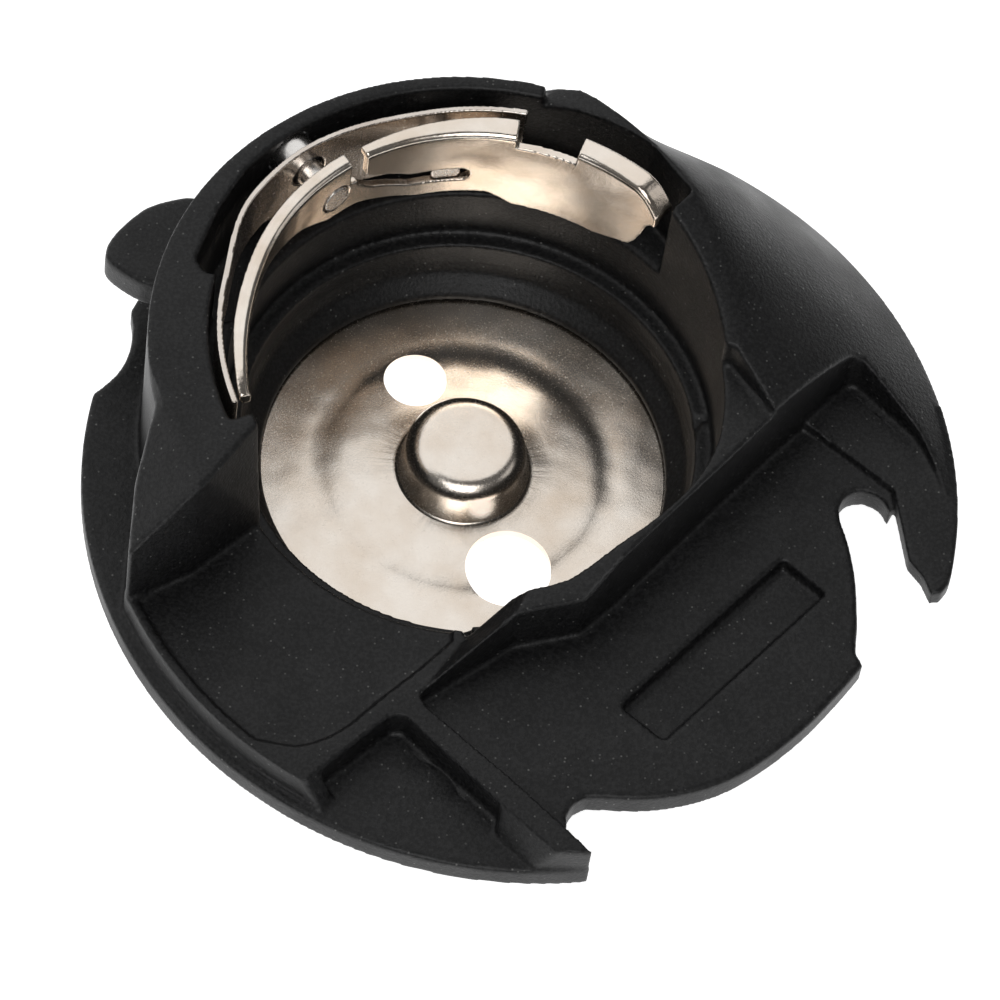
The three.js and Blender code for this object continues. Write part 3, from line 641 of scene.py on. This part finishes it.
def plated_metal(name, light, dark, rough, wrinkles=False):
    material, tree, shader = finish_of(name, metallic=1.0)
    mm = in_mm(tree)
    cloud = add(tree, "TexNoise", {"Vector": mm, "Scale": 0.28, "Detail": 3.0, "Roughness": 0.55})
    pits = add(tree, "TexNoise", {"Vector": mm, "Scale": 9.0, "Detail": 3.0, "Roughness": 0.7})
    stain = spread(tree, cloud.outputs["Fac"], 0.35, 0.72, 0.0, 1.0)
    base = add(tree, "Mix", {"Factor": stain, "A": light, "B": dark}, data_type="RGBA")
    tree.links.new(base.outputs["Result"], shader.inputs["Base Color"])
    uneven = spread(tree, pits.outputs["Fac"], 0.35, 0.75, rough, rough + 0.1)
    tree.links.new(uneven, shader.inputs["Roughness"])
    waves = add(tree, "TexNoise", {"Vector": mm, "Scale": 0.42, "Detail": 1.0})
    height = add(tree, "Math", {0: waves.outputs["Fac"], 1: 14.0, 2: pits.outputs["Fac"]},
                 operation="MULTIPLY_ADD").outputs["Value"]
    if wrinkles:
        height = draw_wrinkles(tree, mm, height)
    bump = add(tree, "Bump", {"Height": height, "Strength": 0.1, "Distance": 0.00006})
    tree.links.new(bump.outputs["Normal"], shader.inputs["Normal"])
    return material


def draw_wrinkles(tree, mm, height):
    """Short radial wrinkles that the drawing of the post leaves around its foot."""
    split = add(tree, "SeparateXYZ", {"Vector": mm})
    flat = add(tree, "CombineXYZ", {"X": split.outputs["X"], "Y": split.outputs["Y"]})
    radius = add(tree, "VectorMath", {0: flat.outputs["Vector"]}, operation="LENGTH").outputs["Value"]
    way = add(tree, "VectorMath", {0: flat.outputs["Vector"]}, operation="NORMALIZE").outputs["Vector"]
    spokes = add(tree, "TexNoise", {"Vector": way, "Scale": 16.0, "Detail": 2.0})
    rise = spread(tree, radius, 3.3, 3.7, 0.0, 1.0)
    fade = spread(tree, radius, 3.8, 5.0, 1.0, 0.0)
    mask = add(tree, "Math", {0: rise, 1: fade}, operation="MULTIPLY").outputs["Value"]
    spoke = add(tree, "Math", {0: spokes.outputs["Fac"], 1: mask}, operation="MULTIPLY").outputs["Value"]
    return add(tree, "Math", {0: spoke, 1: 3.0, 2: height}, operation="MULTIPLY_ADD").outputs["Value"]


# ---- assembly ---------------------------------------------------------------------------------
def place(obj, name, node, body, material, angle=None):
    obj.name = obj.data.name = name
    obj.data.transform(PLACE)
    low, high = cad_box
    for v in obj.data.vertices:
        v.co = [min(max(c, a), b) for c, a, b in zip(v.co, low, high)]
    for polygon in obj.data.polygons:
        polygon.use_smooth = True
    if angle:
        obj.data.set_sharp_from_angle(angle=math.radians(angle))
    obj.data.materials.clear()
    obj.data.materials.append(material)
    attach(obj, body)
    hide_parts(node)


CHAMPAGNE, TARNISH = (0.9, 0.83, 0.75, 1), (0.76, 0.65, 0.54, 1)
SPRING, SPRING_STAIN = (0.78, 0.72, 0.66, 1), (0.6, 0.52, 0.45, 1)
STEEL, STEEL_STAIN = (0.84, 0.82, 0.8, 1), (0.7, 0.66, 0.62, 1)
plate_metal = plated_metal("nickel_plate", CHAMPAGNE, TARNISH, 0.2, wrinkles=True)
bracket_metal = plated_metal("nickel_bracket", CHAMPAGNE, TARNISH, 0.15)
leaf_metal = plated_metal("spring_steel", SPRING, SPRING_STAIN, 0.2)
screw_metal = plated_metal("screw_steel", STEEL, STEEL_STAIN, 0.22)

place(moulding(), "moulded_case", "case_body", "case", black_moulding())
place(base_plate(), "disc_and_post", "base_plate", "case", plate_metal, angle=38)
place(tension_bracket(), "bracket_sheet", "tension_bracket", "case", bracket_metal)
place(tension_spring(), "tension_leaf", "tension_spring", "leaf", leaf_metal)
tension_screw = screw(TENSION_AT, TENSION_Z, sheet_r(TENSION_AT) - 0.05, TENSION_HEAD, [(0.45, 4.0)])
fixing_screw = screw(FIXING_AT, FIXING_Z, sheet_r(FIXING_AT) + BLIND + THREAD_FREE, FIXING_HEAD,
                     [(1.5, 0.4), (0.4, 1.5)])
place(tension_screw, "adjusting_screw", "tension_screw", "adjuster", screw_metal)
place(fixing_screw, "clamp_screw", "fixing_screw", "case", screw_metal)


# ---- studio -----------------------------------------------------------------------------------
SOFTBOXES = {           # direction from the case, distance, size (m), power (W)
    "back_box": ((-0.42, 0.6, 0.85), 0.5, (0.8, 0.62), 1.35),
    "left_box": ((-0.9, -0.1, 0.55), 0.5, (0.3, 0.3), 0.2),
    "right_box": ((0.9, 0.15, 0.5), 0.5, (0.2, 0.35), 0.12),
    "front_box": ((0.05, -0.66, 0.8), 0.6, (0.4, 0.4), 1.5),
}


def studio_floor():
    bm = bmesh.new()
    bmesh.ops.create_grid(bm, x_segments=1, y_segments=1, size=1.0)
    table = solid(bm)
    table.name = "table"
    table.data.transform(Matrix.Translation((0, 0, cad_box[0].z)))
    material, tree, shader = finish_of("white_table", base_color=grey(0.9), roughness=0.8,
                                       emission_color=grey(1.0), emission_strength=0.86)
    paper = add(tree, "TexNoise", {"Scale": 40.0})
    tree.links.new(spread(tree, paper.outputs["Fac"], 0.3, 0.7, 0.75, 0.85), shader.inputs["Roughness"])
    table.data.materials.append(material)


def softbox(name, towards, distance, size, power):
    light = bpy.data.lights.new(name, "AREA")
    light.shape, light.size, light.size_y, light.energy = "RECTANGLE", size[0], size[1], power
    obj = bpy.data.objects.new(name, light)
    way = Vector(towards).normalized()
    obj.location = AXIS + way * distance
    obj.rotation_mode = "QUATERNION"
    obj.rotation_quaternion = way.to_track_quat("Z", "Y")
    bpy.context.scene.collection.objects.link(obj)


def camera():
    """The photographer's view: from the front, high up, with the camera a little rolled."""
    elevation, roll, distance, lens, sensor = 57.59, 9.63, 300.0, 213.8, 36.0
    aside, above = 0.00629, 0.00505     # place of the case in the view, as shares of the distance
    e, r = math.radians(elevation), math.radians(roll)
    forward = Vector((0, math.cos(e), -math.sin(e)))
    level, upward = Vector((1, 0, 0)), Vector((0, math.sin(e), math.cos(e)))
    right = level * math.cos(r) + upward * math.sin(r)
    up = upward * math.cos(r) - level * math.sin(r)
    data = bpy.data.cameras.new("camera")
    data.lens, data.sensor_width, data.clip_start = lens, sensor, 0.01
    obj = bpy.data.objects.new("camera", data)
    spot = (forward - right * aside + up * above) * -distance
    turn = Matrix((right, up, -forward)).transposed().to_4x4()
    obj.matrix_world = Matrix.Translation(AXIS + spot * MM) @ turn
    bpy.context.scene.collection.objects.link(obj)
    bpy.context.scene.camera = obj


def world():
    sky = bpy.data.worlds.new("studio")
    sky.use_nodes = True
    sky.node_tree.nodes["Background"].inputs["Color"].default_value = grey(1.0)
    sky.node_tree.nodes["Background"].inputs["Strength"].default_value = 0.08
    bpy.context.scene.world = sky
    bpy.context.scene.view_settings.view_transform = "Standard"


studio_floor()
for box, (towards, distance, size, power) in SOFTBOXES.items():
    softbox(box, towards, distance, size, power)
camera()
world()
